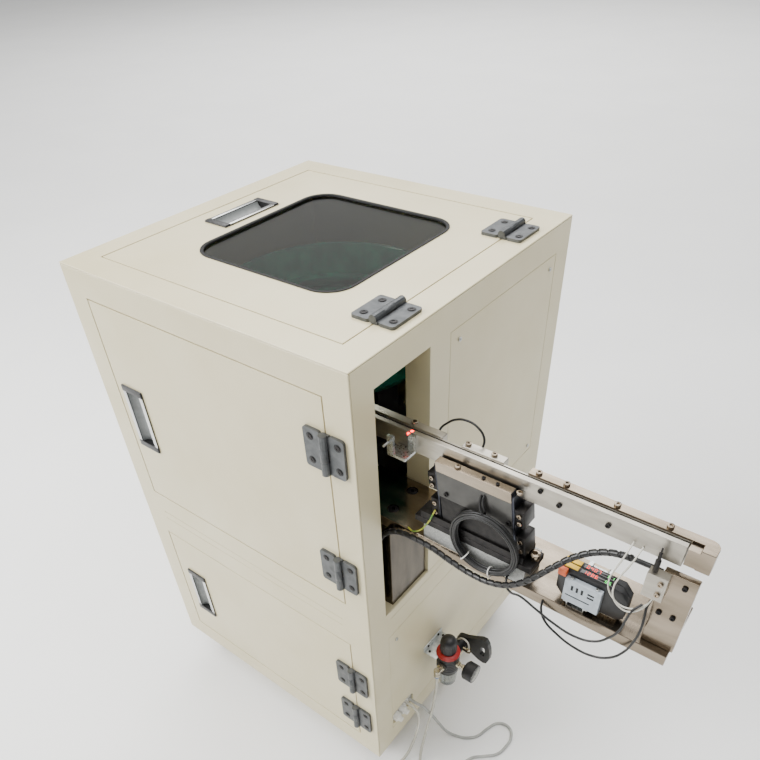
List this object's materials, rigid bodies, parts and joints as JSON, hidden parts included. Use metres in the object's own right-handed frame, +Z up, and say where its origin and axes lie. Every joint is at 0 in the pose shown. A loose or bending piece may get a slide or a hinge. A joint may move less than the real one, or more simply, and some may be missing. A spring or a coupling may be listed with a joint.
{
  "type": "vibratory bowl feeder",
  "caption": "Enclosed vibratory bowl feeder: cabinet with hinged doors and windowed lid, linear track on an arm through the side slot, air regulator, levelling casters.",
  "frame": {"origin": "middle of the footprint, on the floor under the levelling feet", "axes": "+Z up; -Y is the side with the two doors; +X is the side with the slot, towards the end of the track"},
  "size_m": [1.038, 0.6134, 1.0415],
  "materials": {
    "cabinet_enamel": "satin beige enamel",
    "handle_plastic": "matte, with bright side strips",
    "window": "tinted clear",
    "hinge_zinc": "dull grey casting",
    "plated_steel": "nickel-plated, satin to bright",
    "deck_steel": "plain machined plate",
    "blasted_aluminium": "bead-blasted",
    "drive_enamel": "dark grey enamel",
    "bowl_coating": "teal-green coating",
    "fork_resin": "pale grey",
    "amplifier_plastic": "black",
    "regulator_plastic": "black, red ring",
    "gauge": "black case, pale dial",
    "gland_plastic": "white",
    "caster_white": "white",
    "caster_wheel": "off-white nylon",
    "foot_rubber": "red-brown dial, dark pad",
    "grey_cable": "grey jacket",
    "plug_plastic": "black",
    "air_tube": "pale, slightly clear",
    "black_cable": "black jacket"
  },
  "bodies": {
    "cabinet": {"front_frame": "cabinet_enamel", "right_side": "cabinet_enamel", "left_side": "cabinet_enamel", "back_wall": "cabinet_enamel", "top_frame": "cabinet_enamel", "bottom_plate": "cabinet_enamel", "deck_plate": "deck_steel", "right_upper_panel": "cabinet_enamel", "right_lower_panel": "cabinet_enamel", "upper_hinge_top": "hinge_zinc", "upper_hinge_bottom": "hinge_zinc", "lower_hinge_top": "hinge_zinc", "lower_hinge_bottom": "hinge_zinc", "lid_hinge_front": "hinge_zinc", "lid_hinge_rear": "hinge_zinc", "bowl_drive_base": "drive_enamel", "arm_base_plate": "plated_steel", "arm_post": "plated_steel", "drive_riser": "blasted_aluminium", "drive_base": "plated_steel", "end_support": "plated_steel", "sensor_amplifiers": "amplifier_plastic", "regulator": "regulator_plastic", "pressure_gauge": "gauge", "shutoff_valve": "regulator_plastic", "cable_glands": "gland_plastic", "power_cable": "grey_cable", "power_coil": "grey_cable", "power_plug": "plug_plastic", "air_tube": "air_tube", "cable_loom": "black_cable", "cable_hank": "black_cable"},
    "upper_door_leaf": {"upper_door": "cabinet_enamel", "upper_door_handle": "handle_plastic"},
    "lower_door_leaf": {"lower_door": "cabinet_enamel", "lower_door_handle": "handle_plastic"},
    "lid_leaf": {"lid": "cabinet_enamel", "lid_window": "window", "lid_handle": "handle_plastic"},
    "bowl_unit": {"bowl": "bowl_coating", "bowl_drive_top": "drive_enamel"},
    "track_unit": {"drive_top": "drive_enamel", "track_front_rail": "plated_steel", "track_rear_rail": "plated_steel", "track_head_plate": "plated_steel", "sensor_fork": "fork_resin"},
    "pressure_knob": {"regulator_knob": "regulator_plastic"},
    "shutoff": {"shutoff_lever": "regulator_plastic"},
    "caster_front_left": {"caster_front_left_housing": "caster_white"},
    "wheel_front_left": {"caster_front_left_wheel": "caster_wheel"},
    "foot_front_left": {"caster_front_left_foot": "foot_rubber"},
    "caster_front_right": {"caster_front_right_housing": "caster_white"},
    "wheel_front_right": {"caster_front_right_wheel": "caster_wheel"},
    "foot_front_right": {"caster_front_right_foot": "foot_rubber"},
    "caster_rear_left": {"caster_rear_left_housing": "caster_white"},
    "wheel_rear_left": {"caster_rear_left_wheel": "caster_wheel"},
    "foot_rear_left": {"caster_rear_left_foot": "foot_rubber"},
    "caster_rear_right": {"caster_rear_right_housing": "caster_white"},
    "wheel_rear_right": {"caster_rear_right_wheel": "caster_wheel"},
    "foot_rear_right": {"caster_rear_right_foot": "foot_rubber"}
  },
  "joints": [
    {"name": "upper_door_hinge", "type": "hinge", "parent": "cabinet", "child": "upper_door_leaf", "pos_m": [0.03275, -0.30025, 0.7695], "axis": [0, 0, 1], "range_deg": [0, 115]},
    {"name": "lower_door_hinge", "type": "hinge", "parent": "cabinet", "child": "lower_door_leaf", "pos_m": [0.03275, -0.30025, 0.2915], "axis": [0, 0, 1], "range_deg": [0, 115]},
    {"name": "lid_hinge", "type": "hinge", "parent": "cabinet", "child": "lid_leaf", "pos_m": [0.03175, 0.00725, 1.035], "axis": [0, 1, 0], "range_deg": [0, 100]},
    {"name": "bowl_shake", "type": "hinge", "parent": "cabinet", "child": "bowl_unit", "pos_m": [-0.219, 0.01175, 0.833], "axis": [0, 0, 1], "range_deg": [-0.3, 0.3], "stiffness_Nm_per_rad": 1500},
    {"name": "track_shake", "type": "slide", "parent": "cabinet", "child": "track_unit", "axis": [0.9903, 0, 0.1392], "range_m": [-0.0005, 0.0005], "stiffness_N_per_m": 80000},
    {"name": "pressure_knob_turn", "type": "hinge", "parent": "cabinet", "child": "pressure_knob", "pos_m": [0.124, -0.10325, 0.2893], "axis": [0, 0, 1], "range_deg": [-720, 720]},
    {"name": "shutoff_lever_turn", "type": "hinge", "parent": "cabinet", "child": "shutoff", "pos_m": [0.124, -0.04745, 0.259], "axis": [0, 1, 0], "range_deg": [0, 90]},
    {"name": "swivel_front_left", "type": "hinge", "parent": "cabinet", "child": "caster_front_left", "pos_m": [-0.459, -0.24325, 0.0812], "axis": [0, 0, 1], "continuous": true},
    {"name": "roll_front_left", "type": "hinge", "parent": "caster_front_left", "child": "wheel_front_left", "pos_m": [-0.459, -0.19825, 0.027], "axis": [1, 0, 0], "continuous": true},
    {"name": "foot_screw_front_left", "type": "slide", "parent": "caster_front_left", "child": "foot_front_left", "axis": [0, 0, 1], "range_m": [0, 0.008]},
    {"name": "swivel_front_right", "type": "hinge", "parent": "cabinet", "child": "caster_front_right", "pos_m": [0.021, -0.24325, 0.0812], "axis": [0, 0, 1], "continuous": true},
    {"name": "roll_front_right", "type": "hinge", "parent": "caster_front_right", "child": "wheel_front_right", "pos_m": [0.021, -0.19825, 0.027], "axis": [1, 0, 0], "continuous": true},
    {"name": "foot_screw_front_right", "type": "slide", "parent": "caster_front_right", "child": "foot_front_right", "axis": [0, 0, 1], "range_m": [0, 0.008]},
    {"name": "swivel_rear_left", "type": "hinge", "parent": "cabinet", "child": "caster_rear_left", "pos_m": [-0.459, 0.25675, 0.0812], "axis": [0, 0, 1], "continuous": true},
    {"name": "roll_rear_left", "type": "hinge", "parent": "caster_rear_left", "child": "wheel_rear_left", "pos_m": [-0.459, 0.21175, 0.027], "axis": [1, 0, 0], "continuous": true},
    {"name": "foot_screw_rear_left", "type": "slide", "parent": "caster_rear_left", "child": "foot_rear_left", "axis": [0, 0, 1], "range_m": [0, 0.008]},
    {"name": "swivel_rear_right", "type": "hinge", "parent": "cabinet", "child": "caster_rear_right", "pos_m": [0.021, 0.25675, 0.0812], "axis": [0, 0, 1], "continuous": true},
    {"name": "roll_rear_right", "type": "hinge", "parent": "caster_rear_right", "child": "wheel_rear_right", "pos_m": [0.021, 0.21175, 0.027], "axis": [1, 0, 0], "continuous": true},
    {"name": "foot_screw_rear_right", "type": "slide", "parent": "caster_rear_right", "child": "foot_rear_right", "axis": [0, 0, 1], "range_m": [0, 0.008]}
  ]
}
